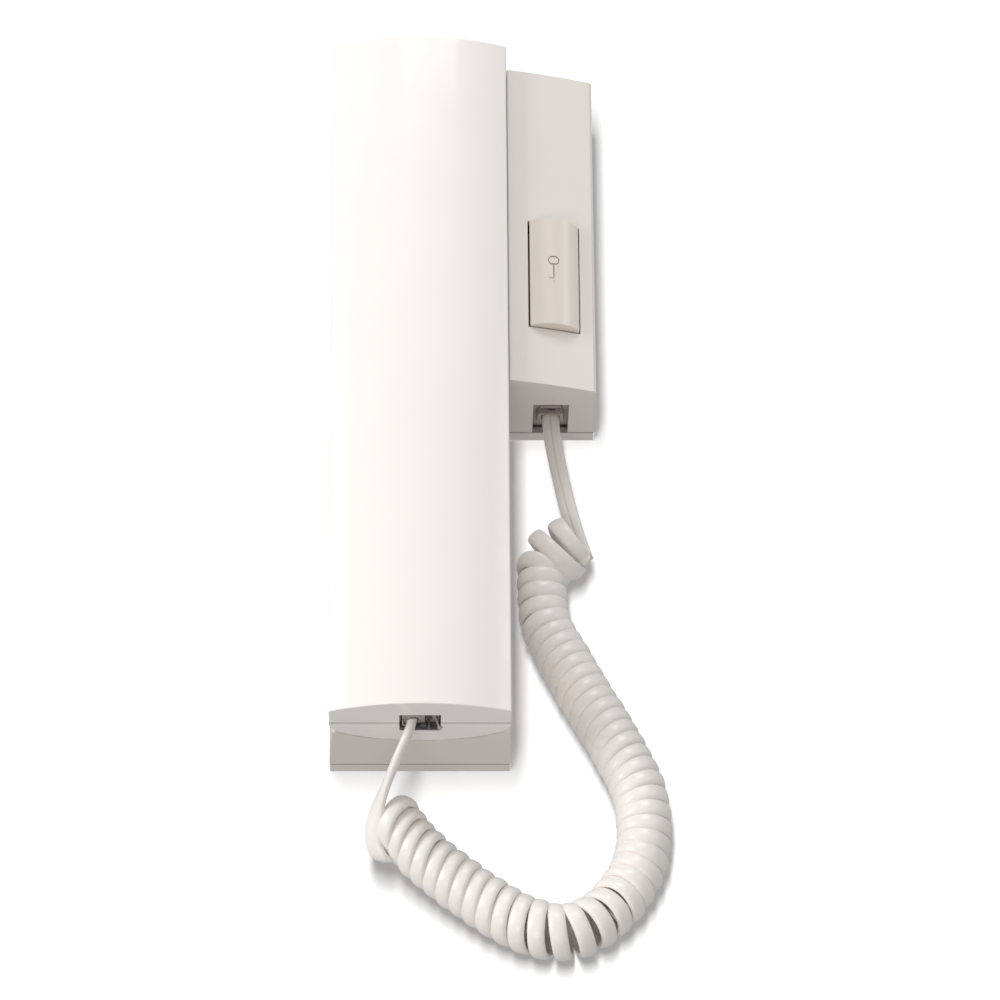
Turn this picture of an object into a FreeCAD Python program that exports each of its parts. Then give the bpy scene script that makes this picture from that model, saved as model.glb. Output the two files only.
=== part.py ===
"""Slimline wall handset: a wall base with a door button, and a handset on a curly cord. Millimetres.

+Z is up and the front faces -Y. The origin is on the wall, midway between the two wall screws.
"Out" is the distance from the wall, so a point that lies Out from it has Y = -Out.
"""
import FreeCAD, Part
import math
import os
import re

import Sketcher
from FreeCAD import Placement, Rotation, Vector

SIZES = {
    # Base: an L of plate and cover, with a column beside the handset
    "Top": 104.1,
    "Bottom": -110,
    "ColumnBottom": -1.5,
    "PlateHalf": 26.65,
    "ColumnLeft": 26.58,
    "ColumnRight": 53,
    "Wall": 2,
    "PlateDepth": 5,
    "PlateFloor": 2.2,
    "PlateRim": 1.8,
    "CoverBack": 5.25,
    "RimHalf": 25.6,
    "RimOut": 29.6,
    "TroughHalf": 24.6,
    "TroughRadius": 50.5,
    "TroughOut": 23.2,
    "ColumnOutLeft": 41.3,
    "ColumnOutRight": 33.2,
    "ColumnFrontRadius": 175,
    "ColumnBevel": 1,
    "WallScrewHeight": 50,
    "WallHoleRadius": 2.25,
    # Door button, its stem, spring and switch
    "ButtonLeft": 33.1,
    "ButtonRight": 47.85,
    "ButtonLow": 17.3,
    "ButtonHigh": 52.4,
    "ButtonOutLeft": 40,
    "ButtonOutRight": 36.1,
    "ButtonRadius": 10.8,
    "ButtonBack": 29,
    "ButtonGap": 0.35,
    "ButtonGapLeft": 0.55,
    "StemAcross": 40.5,
    "StemUp": 34.85,
    "StemEnd": 13.9,
    "StemShoulder": 20,
    "StemRadius": 2.4,
    "LeafHalf": 4,
    "LeafThick": 0.4,
    "KeySignDepth": 0.3,
    "KeySignAcross": 40.25,
    "KeySignUp": 38.5,
    # Circuit board and what stands on it
    "BoardOut": 5.6,
    "BoardThick": 1.6,
    "BoardFront": 7.2,
    "BoardLeft": 28.6,
    "BoardRight": 50.6,
    "BoardLow": 18,
    "BoardHigh": 101,
    "WingLeft": -13,
    "WingLow": 20,
    "WingHigh": 41,
    "SwitchTop": 11,
    "PostRadius": 2.4,
    # Hook lever
    "PivotOut": 15.5,
    "PivotUp": 8,
    "PinRadius": 1,
    "LeverHalf": 3.5,
    # Jacks and plugs
    "JackAcross": 39.5,
    "JackHalf": 5.35,
    "JackOutHigh": 24.2,
    "JackShellHalf": 6.1,
    "JackShellFront": 7.5,
    "JackShellHigh": 16,
    "JackCavityDeep": 13.4,
    "PlugHalf": 3.83,
    "PlugThick": 6.6,
    "PlugLength": 11.7,
    "BasePlugOut": 12.9,
    "HandsetPlugAcross": -1.9,
    "HandsetPlugOut": 37,
    # Handset
    "HandsetBottom": -110,
    "HandsetLength": 220,
    "HandsetHalf": 26.4,
    "SeamFront": 36.72,
    "SeamBack": 36.48,
    "FrontCorner": 45.4,
    "FrontRadius": 60.2,
    "FrontCrown": 51.5,
    "BackEdge": 34.8,
    "ShoulderHalf": 24.3,
    "ShoulderOut": 30.5,
    "BackRadius": 46,
    "BackCentre": 69.56,
    "OpeningHalf": 6,
    "OpeningLow": 31,
    "OpeningHigh": 42.6,
    "ReceiverUp": 80,
    "ReceiverRadius": 15,
    "MicrophoneUp": -80,
    "MicrophoneRadius": 4.85,
    # Cord
    "FlatCordTube": 4,
    "CoilOuter": 16.4,
}

doc = FreeCAD.newDocument("SlimlineWallPhone")
sheet = doc.addObject("Spreadsheet::Sheet", "Sizes")
for row, (alias, number) in enumerate(SIZES.items(), start=1):
    sheet.set(f"A{row}", str(number))
    sheet.setAlias(f"A{row}", alias)
doc.recompute()

BOARD_POSTS = [(31.2, 22), (48.6, 22), (48.6, 74), (20, 36)]
COVER_SCREW_HEIGHTS = (-85, 88)
HANDSET_SCREW_HEIGHTS = (-45, 25)
SUB_PARTS = []


def size(text):
    """The number that an expression in the sheet's words comes to."""
    return float(sheet.evalExpression(str(text)))


def bound(text):
    """The same expression as another object of the document has to write it."""
    return re.sub(r"\b([A-Z]\w*)", r"Sizes.\1", str(text))


def keep(shape_object, label):
    shape_object.Label = label
    SUB_PARTS.append(shape_object)
    return shape_object


# Sketches and features


def new_body(label):
    return keep(doc.addObject("PartDesign::Body", label + "_body"), label)


def sketch_on(body, plane, lift=0):
    """A sketch on one of the body's own planes, moved along the plane's normal."""
    sketch = body.newObject("Sketcher::SketchObject", "Sketch")
    flat = next(f for f in body.Origin.OriginFeatures if f.Role == plane)
    sketch.AttachmentSupport = [(flat, "")]
    sketch.MapMode = "FlatFace"
    sketch.setExpression("AttachmentOffset.Base.z", bound(lift))
    return sketch


def plan(body, lift):
    """Seen from above: X across, and Y, which is minus Out."""
    return sketch_on(body, "XY_Plane", lift)


def front(body, out):
    """Seen from the front: X across and Z up, Out from the wall."""
    return sketch_on(body, "XZ_Plane", out)


def side(body, across):
    """Seen from the right: Y, which is minus Out, and Z up."""
    return sketch_on(body, "YZ_Plane", across)


def pin_point(sketch, edge, end, x, y):
    for kind, text in (("DistanceX", x), ("DistanceY", y)):
        number = sketch.addConstraint(Sketcher.Constraint(kind, -1, 1, edge, end, size(text)))
        sketch.setExpression(f"Constraints[{number}]", bound(text))


def outline(sketch, corners):
    """A closed outline. A corner (x, y) is reached by a line, and (x, y, radius) by an arc.

    A positive radius turns left on the way, and a negative one turns right.
    """
    spots = [Vector(size(c[0]), size(c[1]), 0) for c in corners]
    ends = []
    for number, corner in enumerate(corners):
        start = spots[number - 1]
        stop = spots[number]
        if len(corner) == 2:
            edge = sketch.addGeometry(Part.LineSegment(start, stop))
            ends.append((edge, 1, 2))
            continue
        radius = size(corner[2])
        chord = stop - start
        half = chord.Length / 2
        middle = (start + stop) * 0.5
        left = Vector(-chord.y, chord.x, 0).normalize()
        centre = middle + left * math.copysign(math.sqrt(radius**2 - half**2), radius)
        circle = Part.Circle(centre, Vector(0, 0, 1), abs(radius))
        first, last = (start, stop) if radius > 0 else (stop, start)
        arc = Part.ArcOfCircle(circle, circle.parameter(first), circle.parameter(last))
        edge = sketch.addGeometry(arc)
        ends.append((edge, 1, 2) if radius > 0 else (edge, 2, 1))
        number_of = sketch.addConstraint(Sketcher.Constraint("Radius", edge, abs(radius)))
        sketch.setExpression(f"Constraints[{number_of}]", bound(f"abs({corner[2]})"))
    for number, (edge, begin, _) in enumerate(ends):
        before, _, finish = ends[number - 1]
        sketch.addConstraint(Sketcher.Constraint("Coincident", before, finish, edge, begin))
    for (edge, _, finish), corner in zip(ends, corners):
        pin_point(sketch, edge, finish, corner[0], corner[1])
    return sketch


def rectangle(sketch, left, right, low, high):
    return outline(sketch, [(left, low), (right, low), (right, high), (left, high)])


def circles(sketch, spots, radius):
    for x, y in spots:
        ring = Part.Circle(Vector(size(x), size(y), 0), Vector(0, 0, 1), size(radius))
        edge = sketch.addGeometry(ring)
        number = sketch.addConstraint(Sketcher.Constraint("Radius", edge, size(radius)))
        sketch.setExpression(f"Constraints[{number}]", bound(radius))
        pin_point(sketch, edge, 3, x, y)
    return sketch


def pad(body, sketch, length):
    feature = body.newObject("PartDesign::Pad", "Pad")
    feature.Profile = sketch
    feature.setExpression("Length", bound(length))
    doc.recompute()
    return feature


def pocket(body, sketch, length, forward=False):
    """Cuts against the sketch's normal, or along it when forward is set."""
    before = body.Shape.Volume
    feature = body.newObject("PartDesign::Pocket", "Pocket")
    feature.Profile = sketch
    feature.setExpression("Length", bound(length))
    feature.Reversed = forward
    doc.recompute()
    if not body.Shape.Volume < before - 0.01:
        raise RuntimeError(f"a pocket in {body.Label} cut nothing")
    return feature


def round_edges(body, radius, chosen):
    """Fillets every edge of the body's last shape whose bounding box the test accepts."""
    base = body.Tip
    names = []
    for number, edge in enumerate(base.Shape.Edges, start=1):
        if chosen(edge.BoundBox):
            names.append(f"Edge{number}")
    if not names:
        raise RuntimeError(f"no edge to round in {body.Label}")
    fillet = body.newObject("PartDesign::Fillet", "Fillet")
    fillet.Base = (base, names)
    fillet.Radius = radius
    doc.recompute()
    if "Invalid" in fillet.State:
        raise RuntimeError(f"a fillet in {body.Label} failed on {names}")
    return fillet


# Plain primitives, bound to the sheet


def place(item, x, y, z):
    for letter, text in zip("xyz", (x, y, z)):
        item.setExpression(f"Placement.Base.{letter}", bound(text))
    return item


def block(x, y, z, length, width, height):
    """A box from its lowest corner."""
    item = doc.addObject("Part::Box", "Block")
    for field, text in (("Length", length), ("Width", width), ("Height", height)):
        item.setExpression(field, bound(text))
    return place(item, x, y, z)


def rod(x, out, z, radius, length):
    """A round rod along Y that starts Out from the wall and runs away from the wall."""
    item = doc.addObject("Part::Cylinder", "Rod")
    item.Placement = Placement(Vector(), Rotation(Vector(1, 0, 0), 90))
    item.setExpression("Radius", bound(radius))
    item.setExpression("Height", bound(length))
    return place(item, x, f"-({out})", z)


def crossbar(x, out, z, radius, length):
    """A round rod along X."""
    item = doc.addObject("Part::Cylinder", "Crossbar")
    item.Placement = Placement(Vector(), Rotation(Vector(0, 1, 0), 90))
    item.setExpression("Radius", bound(radius))
    item.setExpression("Height", bound(length))
    return place(item, x, f"-({out})", z)


def fuse(*items):
    item = doc.addObject("Part::MultiFuse", "Fuse")
    item.Shapes = list(items)
    return item


def cut(base, *tools):
    item = doc.addObject("Part::Cut", "Cut")
    item.Base = base
    item.Tool = tools[0] if len(tools) == 1 else fuse(*tools)
    return item


def group(*items):
    """Separate solids that make up one sub-part."""
    item = doc.addObject("Part::Compound", "Group")
    item.Links = list(items)
    return item


# Base


def l_outline(inset=0):
    """The base's outline from the front: full height on the left, half height on the right."""
    return [
        (f"-PlateHalf + {inset}", f"Bottom + {inset}"),
        (f"PlateHalf - {inset}", f"Bottom + {inset}"),
        (f"PlateHalf - {inset}", f"ColumnBottom + {inset}"),
        (f"ColumnRight - {inset}", f"ColumnBottom + {inset}"),
        (f"ColumnRight - {inset}", f"Top - {inset}"),
        (f"-PlateHalf + {inset}", f"Top - {inset}"),
    ]


def make_back_plate():
    body = new_body("back_plate")
    pad(body, outline(front(body, 0), l_outline()), "PlateDepth")
    pocket(body, outline(front(body, "PlateDepth"), l_outline("PlateRim")), "PlateDepth - PlateFloor")
    posts = circles(front(body, "PlateFloor - 0.2"), BOARD_POSTS, "PostRadius")
    pad(body, posts, "BoardOut - PlateFloor + 0.2")
    cover_posts = [(0, height) for height in COVER_SCREW_HEIGHTS]
    pad(body, circles(front(body, "PlateFloor - 0.2"), cover_posts, 3.2), "TroughOut - Wall - PlateFloor")
    ears = front(body, "PlateFloor - 0.2")
    rectangle(ears, 4.2, 6.2, "PivotUp - 4", "PivotUp + 4")
    rectangle(ears, -6.2, -4.2, "PivotUp - 4", "PivotUp + 4")
    pad(body, ears, "PivotOut + 3 - PlateFloor")
    pivot = circles(side(body, 8), [("-PivotOut", "PivotUp")], "PinRadius + 0.02")
    pocket(body, pivot, 16)
    pocket(body, circles(front(body, "BoardOut"), BOARD_POSTS, 1.05), 3)
    pocket(body, circles(front(body, "TroughOut - Wall"), cover_posts, 1.3), 14)
    wall_holes = [(0, "WallScrewHeight"), (0, "-WallScrewHeight")]
    pocket(body, circles(front(body, "PlateDepth"), wall_holes, "WallHoleRadius"), "PlateDepth + 1")
    pocket(body, rectangle(front(body, "PlateDepth"), -9, 9, 61, 77), "PlateDepth + 1")
    round_edges(body, 0.6, lambda box: box.XLength < 0.01 and box.YMax > -0.01 and box.YLength > 4.9)


def make_base_cover():
    body = new_body("base_cover")
    slope = [
        ("-PlateHalf", "-CoverBack"),
        ("-RimHalf", "-RimOut"),
        ("-TroughHalf", "-RimOut"),
        ("TroughHalf", "-RimOut", "-TroughRadius"),
        ("RimHalf", "-RimOut"),
        ("PlateHalf", "-CoverBack"),
    ]
    pad(body, outline(plan(body, "Bottom"), slope), "Top - Bottom")
    column = [
        (24, "-CoverBack"),
        (24, -28),
        ("ColumnLeft", -28),
        ("ColumnLeft", "-ColumnOutLeft"),
        ("ColumnRight - ColumnBevel", "-ColumnOutRight", "ColumnFrontRadius"),
        ("ColumnRight - ColumnBevel * 0.3", "-ColumnOutRight + ColumnBevel * 0.8"),
        ("ColumnRight", "-CoverBack"),
    ]
    pad(body, outline(plan(body, "ColumnBottom"), column), "Top - ColumnBottom")
    hollow_side = "TroughHalf - 0.9"
    hollow_out = f"TroughOut + TroughRadius - sqrt((TroughRadius + Wall)^2 - ({hollow_side})^2)"
    left_hollow = [
        ("-PlateHalf + Wall", -5),
        (f"-({hollow_side})", f"-({hollow_out})"),
        (hollow_side, f"-({hollow_out})", "-(TroughRadius + Wall)"),
        ("PlateHalf - Wall", -5),
    ]
    pocket(body, outline(plan(body, "Bottom + Wall"), left_hollow), "Top - Bottom - 2 * Wall", True)
    column_hollow = [
        ("ColumnLeft + Wall", -5),
        ("ColumnLeft + Wall", "-ColumnOutLeft + Wall + 0.8"),
        ("ColumnRight - Wall", "-ColumnOutRight + Wall + 0.3"),
        ("ColumnRight - Wall", -5),
    ]
    tall = "Top - ColumnBottom - 2 * Wall"
    pocket(body, outline(plan(body, "ColumnBottom + Wall"), column_hollow), tall, True)
    passage = rectangle(plan(body, "ColumnBottom + Wall"), 20, 30, -25, -5)
    pocket(body, passage, tall, True)
    jack = rectangle(
        plan(body, "ColumnBottom"), "JackAcross - JackHalf", "JackAcross + JackHalf", "-JackOutHigh", -5
    )
    pocket(body, jack, "Wall + 0.5", True)
    window = rectangle(
        front(body, 45),
        "ButtonLeft - ButtonGapLeft",
        "ButtonRight + ButtonGap",
        "ButtonLow - ButtonGap",
        "ButtonHigh + ButtonGap",
    )
    pocket(body, window, 17)
    pocket(body, rectangle(front(body, 30), -4, 4, 22.3, 33.8), 10)
    screws = [(0, height) for height in COVER_SCREW_HEIGHTS]
    pocket(body, circles(front(body, 30), screws, 1.6), 10)
    pocket(body, circles(front(body, 30), screws, 3), "30 - TroughOut + 1")
    slots = plan(body, "Top")
    for step in range(5):
        left = 33 + 3 * step
        rectangle(slots, left, left + 1.6, -22, -10)
    pocket(body, slots, "Wall + 0.5")
    pad(body, rectangle(front(body, "TroughOut - 0.6"), -5, 5, 41, 47), 5.4)
    round_edges(body, 0.5, lambda box: box.ZLength > 100 and box.YMax < -40)


def make_cover_screws():
    screws = []
    for height in COVER_SCREW_HEIGHTS:
        shank = rod(0, 8, height, 1.25, "TroughOut - 8.9")
        head = rod(0, "TroughOut - 0.95", height, 2.8, 0.85)
        slot = block(-2.2, "-TroughOut - 0.5", f"{height} - 0.3", 4.4, 0.95, 0.6)
        screws.append(cut(fuse(shank, head), slot))
    keep(group(*screws), "cover_screws")


def make_main_board():
    body = new_body("main_board")
    edge = [
        ("BoardLeft", "BoardLow"),
        ("BoardRight", "BoardLow"),
        ("BoardRight", "BoardHigh"),
        ("BoardLeft", "BoardHigh"),
        ("BoardLeft", "WingHigh"),
        ("WingLeft", "WingHigh"),
        ("WingLeft", "WingLow"),
        ("BoardLeft", "WingLow"),
    ]
    pad(body, outline(front(body, "BoardOut"), edge), "BoardThick")
    pocket(body, circles(front(body, "BoardFront"), BOARD_POSTS, 1.2), "BoardThick + 1")


def make_board_screws():
    screws = []
    for across, up in BOARD_POSTS:
        screws.append(fuse(rod(across, 3, up, 1, 4.2), rod(across, "BoardFront", up, 2.1, 1.4)))
    keep(group(*screws), "board_screws")


def make_terminals():
    screws = []
    bores = []
    mouths = []
    for number in range(4):
        across = 32.1 + 5 * number
        bores.append(rod(across, 14.2, 85, 1.9, 4))
        mouths.append(block(f"{across} - 1.5", -12.2, 79, 3, 3.4, 5))
        head = rod(across, 14.3, 85, 1.8, 2.2)
        screws.append(cut(head, block(f"{across} - 2", -17, 84.7, 4, 1, 0.6)))
    block_body = block(29.6, -17.2, 80, 20, 10, 10)
    keep(cut(block_body, *bores, *mouths), "terminal_block")
    keep(group(*screws), "terminal_screws")


def make_board_parts():
    can_low = rod(33.5, "BoardFront", 49, 3.15, 8)
    can_high = rod(46, "BoardFront", 47, 2.5, 7)
    keep(group(can_low, can_high), "capacitors")
    keep(block(37, "-BoardFront - 2.4", 45.5, 5, 2.4, 8), "speech_chip")
    shell = rod(39.9, "BoardFront", 65, 8.5, 8)
    mouth = rod(39.9, "BoardFront + 6.5", 65, 1.5, 2)
    keep(cut(shell, mouth), "sounder")
    base = block("StemAcross - 6", "-SwitchTop", "StemUp - 6", 12, "SwitchTop - BoardFront", 12)
    tip = rod("StemAcross", "SwitchTop", "StemUp", 1.7, 0.8)
    keep(fuse(base, tip), "door_switch")
    micro = block(-6.4, -13.4, 22, 12.8, "13.4 - BoardFront", 6)
    nib = rod(0, 13.4, 25, 0.9, 0.7)
    keep(fuse(micro, nib), "hook_switch")


def make_door_button():
    body = doc.addObject("PartDesign::Body", "Button")
    crown = [
        ("ButtonLeft", "-ButtonBack"),
        ("ButtonLeft", "-ButtonOutLeft"),
        ("ButtonRight", "-ButtonOutRight", "ButtonRadius"),
        ("ButtonRight", "-ButtonBack"),
    ]
    pad(body, outline(plan(body, "ButtonLow"), crown), "ButtonHigh - ButtonLow")
    lip = front(body, "ButtonBack")
    rectangle(lip, "ButtonLeft - 0.9", "ButtonRight + 0.9", "ButtonLow - 0.9", "ButtonHigh + 0.9")
    pad(body, lip, 1.2)
    inside = front(body, "ButtonBack")
    rectangle(inside, "ButtonLeft + 1.6", "ButtonRight - 1.6", "ButtonLow + 1.6", "ButtonHigh - 1.6")
    pocket(body, inside, 5, True)
    shoulder = front(body, "StemShoulder")
    rectangle(shoulder, "StemAcross - 4.5", "StemAcross + 4.5", "StemUp - 4.5", "StemUp + 4.5")
    pad(body, shoulder, "ButtonBack + 5.5 - StemShoulder")
    stem = circles(front(body, "StemEnd"), [("StemAcross", "StemUp")], "StemRadius")
    pad(body, stem, "StemShoulder - StemEnd + 0.5")
    round_edges(body, 0.25, lambda box: box.ZLength > 34 and box.YMax < -35)
    keep(cut(body, cut(key_sign(), crown_core())), "door_button")


def stadium(sketch, across, up, half_length, half_height):
    """A slot outline: two straight sides and two bowed ends."""
    left = f"{across} - {half_length - half_height}"
    right = f"{across} + {half_length - half_height}"
    low = f"{up} - {half_height}"
    high = f"{up} + {half_height}"
    bow = half_height * 1.05
    return outline(sketch, [(left, low, bow), (right, low), (right, high, bow), (left, high)])


def key_sign():
    """A key in outline, as deep as the button: a wide ring above a shaft with one tooth."""
    body = doc.addObject("PartDesign::Body", "KeySign")
    ring = front(body, "ButtonBack + 4")
    stadium(ring, "KeySignAcross", "KeySignUp", 2.1, 1.45)
    stadium(ring, "KeySignAcross", "KeySignUp", 1.7, 1.05)
    pad(body, ring, "ButtonOutLeft - ButtonBack")
    shaft = front(body, "ButtonBack + 4")
    stroke = 0.2
    edge = [
        (-stroke, -1.3),
        (-stroke, -5.8),
        (-1.4, -5.8),
        (-1.4, -6.2),
        (-stroke, -6.2),
        (-stroke, -7.6),
        (stroke, -7.6),
        (stroke, -1.3),
    ]
    outline(shaft, [(f"KeySignAcross + {across}", f"KeySignUp + {up}") for across, up in edge])
    pad(body, shaft, "ButtonOutLeft - ButtonBack")
    return body


def crown_core():
    """What lies under the engraving: a cylinder inside the button's crown, on the crown's own axis."""
    wide = "(ButtonRight - ButtonLeft)"
    drop = "(ButtonOutLeft - ButtonOutRight)"
    chord = f"sqrt({wide}^2 + {drop}^2)"
    rise = f"sqrt(ButtonRadius^2 - {chord}^2 / 4)"
    item = doc.addObject("Part::Cylinder", "CrownCore")
    item.setExpression("Radius", bound("ButtonRadius - KeySignDepth"))
    item.setExpression("Height", bound("ButtonHigh - ButtonLow"))
    across = f"(ButtonLeft + ButtonRight) / 2 - {rise} * {drop} / {chord}"
    out = f"(ButtonOutLeft + ButtonOutRight) / 2 - {rise} * {wide} / {chord}"
    return place(item, across, f"-({out})", "ButtonLow")


def make_door_button_spring():
    """A bent leaf: a foot on the board, and a slope with a hole that the button's stem goes through."""
    body = new_body("door_button_spring")
    leaf = [
        ("-BoardFront - 0.05", "StemUp - 12"),
        ("-BoardFront - 0.05 - LeafThick", "StemUp - 12"),
        ("-BoardFront - 0.05 - LeafThick", "StemUp - 7 - LeafThick"),
        ("-StemEnd", "StemUp - 7 - LeafThick"),
        ("-StemShoulder + 0.2", "StemUp + 3.6"),
        ("-StemShoulder + 0.2 + LeafThick", "StemUp + 3.8"),
        ("-StemEnd + LeafThick", "StemUp - 7"),
        ("-BoardFront - 0.05", "StemUp - 7"),
    ]
    pad(body, outline(side(body, "StemAcross - LeafHalf"), leaf), "2 * LeafHalf")
    hole = circles(front(body, "StemShoulder + 1"), [("StemAcross", "StemUp")], "StemRadius + 0.7")
    pocket(body, hole, "StemShoulder + 1 - SwitchTop")


def make_hook():
    body = new_body("hook_lever")
    arm = [
        (-14.3, "PivotUp"),
        (-14.3, 33),
        ("-TroughOut", 33),
        ("-TroughOut", 26.5),
        (-22.2, 25.5),
        (-16.5, 22.5),
        (-16.5, "PivotUp"),
    ]
    pad(body, outline(side(body, "-LeverHalf"), arm), "2 * LeverHalf")
    pad(body, circles(side(body, "-LeverHalf"), [("-PivotOut", "PivotUp")], 2.8), "2 * LeverHalf")
    bore = circles(side(body, "LeverHalf + 1"), [("-PivotOut", "PivotUp")], "PinRadius + 0.05")
    pocket(body, bore, "2 * LeverHalf + 2")
    keep(crossbar(-7, "PivotOut", "PivotUp", "PinRadius", 14), "hook_lever_pin")
    leaf = new_body("hook_spring")
    strip = [
        (-2.25, -14),
        (-2.65, -14),
        (-2.65, -4.2),
        (-12.4, 15.4),
        (-13.9, 17),
        (-13.5, 17.3),
        (-12.0, 15.6),
        (-2.25, -4),
    ]
    pad(leaf, outline(side(leaf, -2), strip), 4)


def make_jack(label, x, y, z, plug_turn, back):
    """A modular socket around a plug. Its own frame has the mouth down and the latch to -Y."""
    deep = f"JackShellFront + {back}"
    shell = block("-JackShellHalf", "-JackShellFront", 0.4, "2 * JackShellHalf", deep, "JackShellHigh")
    wide = "2 * PlugHalf + 0.54"
    thick = "PlugThick + 0.5"
    cavity = block("-PlugHalf - 0.27", f"-({thick}) / 2", -1, wide, thick, "JackCavityDeep")
    keyway = block(-3.4, "0.6 - JackShellFront", -1, 6.8, 3.4, "JackCavityDeep")
    socket = cut(shell, cavity, keyway)
    socket.Placement = Placement(Vector(), Rotation(Vector(0, 0, 1), plug_turn))
    keep(place(socket, x, y, z), label)


def make_plug(label, x, y, z, turn):
    """A clear modular plug: body, spring latch and a cord entry. Mouth down, latch to -Y."""
    thick = size("PlugThick")
    body = block("-PlugHalf", "-PlugThick / 2", 0, "2 * PlugHalf", "PlugThick", "PlugLength")
    entry = block(-2.7, -1.4, -0.1, 5.4, 2.8, 2.1)
    latch = doc.addObject("Part::Wedge", "Latch")
    latch.Xmin = -3.1
    latch.Xmax = 3.1
    latch.X2min = -1.6
    latch.X2max = 1.6
    latch.Ymin = 0.3
    latch.Ymax = 10.8
    latch.Zmin = 0
    latch.Zmax = 1.1
    latch.Z2min = 0
    latch.Z2max = 1.1
    latch.Placement = Placement(Vector(0, -thick / 2 - 2.3, 0), Rotation(Vector(1, 0, 0), 90 - 12))
    root = block(-1.6, -5.1, 9.3, 3.2, 2, 2)
    whole = fuse(cut(body, entry), latch, root)
    whole.Placement = Placement(Vector(), Rotation(Vector(0, 0, 1), turn))
    keep(place(whole, x, y, z), label)


# Handset


def make_handset_front():
    body = new_body("handset_front_shell")
    crown = [
        ("-HandsetHalf", "-SeamFront"),
        ("-HandsetHalf", "-FrontCorner"),
        ("HandsetHalf", "-FrontCorner", "FrontRadius"),
        ("HandsetHalf", "-SeamFront"),
    ]
    pad(body, outline(plan(body, "HandsetBottom"), crown), "HandsetLength")
    inner = "HandsetHalf - Wall"
    inner_out = f"FrontCrown - FrontRadius + sqrt((FrontRadius - Wall)^2 - ({inner})^2)"
    hollow = [
        (f"-({inner})", -36),
        (f"-({inner})", f"-({inner_out})"),
        (inner, f"-({inner_out})", "FrontRadius - Wall"),
        (inner, -36),
    ]
    pocket(body, outline(plan(body, "HandsetBottom + Wall"), hollow), "HandsetLength - 2 * Wall", True)
    mouth = rectangle(plan(body, "HandsetBottom"), "-OpeningHalf", "OpeningHalf", "-OpeningHigh", -36)
    pocket(body, mouth, "Wall + 0.5", True)
    posts = [(0, height) for height in HANDSET_SCREW_HEIGHTS]
    pad(body, circles(front(body, 31.2), posts, 3.2), 19.3)
    pocket(body, circles(front(body, 40), posts, 1.15), 9)
    round_edges(body, 0.7, lambda box: box.ZLength > 219 and abs(box.YMax + size("FrontCorner")) < 0.01)
    round_edges(body, 0.35, lambda box: box.XLength > 50 and box.YMin < -51 and abs(box.Center.z) > 109.9)


def make_handset_back():
    body = new_body("handset_back_shell")
    shell = [
        ("-HandsetHalf", "-SeamBack"),
        ("-HandsetHalf", "-BackEdge"),
        ("-ShoulderHalf", "-ShoulderOut"),
        ("ShoulderHalf", "-ShoulderOut", "-BackRadius"),
        ("HandsetHalf", "-BackEdge"),
        ("HandsetHalf", "-SeamBack"),
    ]
    pad(body, outline(plan(body, "HandsetBottom"), shell), "HandsetLength")
    inner_out = "BackCentre - sqrt((BackRadius - Wall)^2 - 22.6^2)"
    hollow = [
        ("-HandsetHalf + Wall", -37),
        ("-HandsetHalf + Wall", "-BackEdge - 0.7"),
        (-22.6, f"-({inner_out})"),
        (22.6, f"-({inner_out})", "-BackRadius + Wall"),
        ("HandsetHalf - Wall", "-BackEdge - 0.7"),
        ("HandsetHalf - Wall", -37),
    ]
    pocket(body, outline(plan(body, "HandsetBottom + Wall"), hollow), "HandsetLength - 2 * Wall", True)
    mouth = rectangle(plan(body, "HandsetBottom"), "-OpeningHalf", "OpeningHalf", -37, "-OpeningLow")
    pocket(body, mouth, "Wall + 0.5", True)
    posts = [(0, height) for height in HANDSET_SCREW_HEIGHTS]
    pad(body, circles(front(body, 24.5), posts, 4.6), 6.5)
    pocket(body, circles(front(body, 27), posts, 3.1), 8)
    pocket(body, circles(front(body, 32), posts, 1.5), 12)
    pocket(body, rectangle(front(body, 30), -5.6, 5.6, 40.2, 47.8), 10)
    receiver = [(0, "ReceiverUp")]
    for count, reach in ((6, 4), (12, 8)):
        for number in range(count):
            angle = 2 * math.pi * number / count
            across = round(reach * math.cos(angle), 3)
            up = round(reach * math.sin(angle), 3)
            receiver.append((across, f"ReceiverUp + {up}"))
    pocket(body, circles(front(body, 29), receiver, 0.9), 9)
    talk = [(across, f"MicrophoneUp + {up}") for across in (-2.2, 0, 2.2) for up in (-1.5, 1.5)]
    pocket(body, circles(front(body, 29), talk, 0.6), 9)


def make_handset_insides():
    screws = []
    for height in HANDSET_SCREW_HEIGHTS:
        shank = rod(0, 26.8, height, 1.1, 11.5)
        head = rod(0, 25.4, height, 2.8, 1.55)
        slot = block(-2.2, -25.9, f"{height} - 0.3", 4.4, 0.6, 0.6)
        screws.append(cut(fuse(shank, head), slot))
    keep(group(*screws), "handset_screws")
    can = rod(0, 29.5, "ReceiverUp", "ReceiverRadius", 7)
    magnet = rod(0, 36.4, "ReceiverUp", 8, 3)
    keep(fuse(can, magnet), "receiver_capsule")
    ring = rod(0, 28.35, "ReceiverUp", "ReceiverRadius", 1.1)
    keep(cut(ring, rod(0, 28, "ReceiverUp", "ReceiverRadius - 4", 2)), "receiver_gasket")
    keep(rod(0, 27.6, "MicrophoneUp", "MicrophoneRadius", 5), "microphone")
    boot = rod(0, 26.3, "MicrophoneUp", 6.4, 6.3)
    keep(cut(boot, rod(0, 26, "MicrophoneUp", "MicrophoneRadius + 0.05", 7)), "microphone_boot")
    keep(block(-9.3, -44, -106, 1.6, 14, 30), "handset_board")


# Cord: straight runs joined by tangent arcs

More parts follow.
